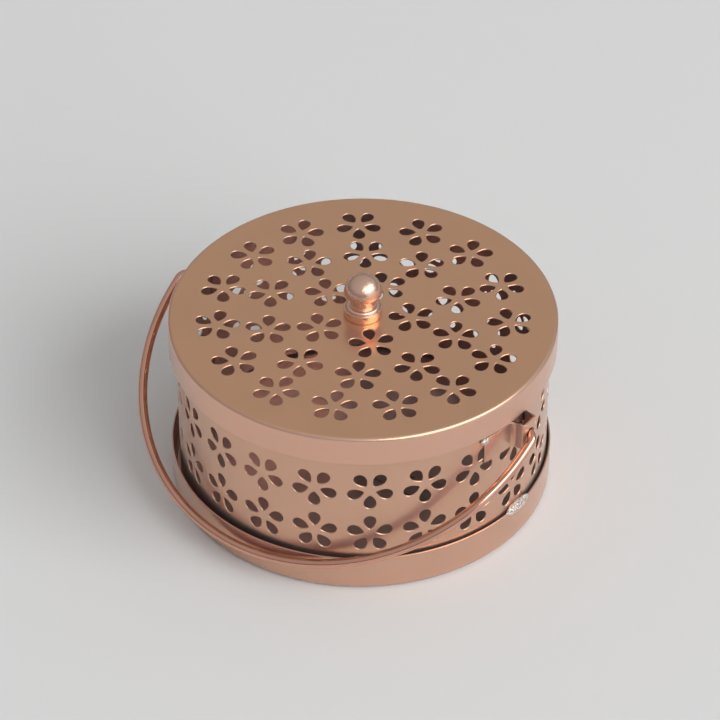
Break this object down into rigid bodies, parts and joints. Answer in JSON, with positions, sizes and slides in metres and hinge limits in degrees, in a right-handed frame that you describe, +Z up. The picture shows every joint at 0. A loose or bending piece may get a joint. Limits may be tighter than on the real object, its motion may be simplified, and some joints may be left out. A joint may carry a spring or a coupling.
{
  "type": "mosquito coil holder",
  "caption": "Round sheet-metal box for burning a mosquito coil: shallow dish, pierced flower band, lift-off pierced lid with a turned knob, and a swinging wire bail.",
  "frame": {"origin": "middle of the dish's underside, on the surface that the holder stands on", "axes": "+Z up, X along the bail's pivot axis, the bail folded down towards -Y at rest"},
  "size_m": [0.1699, 0.1512, 0.0912],
  "materials": {
    "band_sheet": "satin copper-coloured plating",
    "lid_sheet": "satin gold-brown plating",
    "polished_knob": "polished copper plating",
    "bail_wire": "polished copper plating",
    "solder": "rough solder under the plating",
    "steel_parts": "plain steel"
  },
  "bodies": {
    "box": {"dish": "band_sheet", "body_band": "band_sheet", "ear_right": "band_sheet", "ear_left": "band_sheet", "solder_tacks": "solder", "ear_solder": "solder", "coil_stand": "steel_parts", "stand_rivets": "steel_parts"},
    "lid": {"lid_shell": "lid_sheet", "knob": "polished_knob", "knob_washer": "steel_parts", "knob_screw": "steel_parts"},
    "bail": {"bail_handle": "bail_wire"}
  },
  "joints": [
    {"name": "lid_lift", "type": "slide", "parent": "box", "child": "lid", "axis": [0, 0, 1], "range_m": [0, 0.1]},
    {"name": "bail_swing", "type": "hinge", "parent": "box", "child": "bail", "pos_m": [0, 0, 0.0534], "axis": [-1, 0, 0], "range_deg": [0, 238.5]}
  ]
}
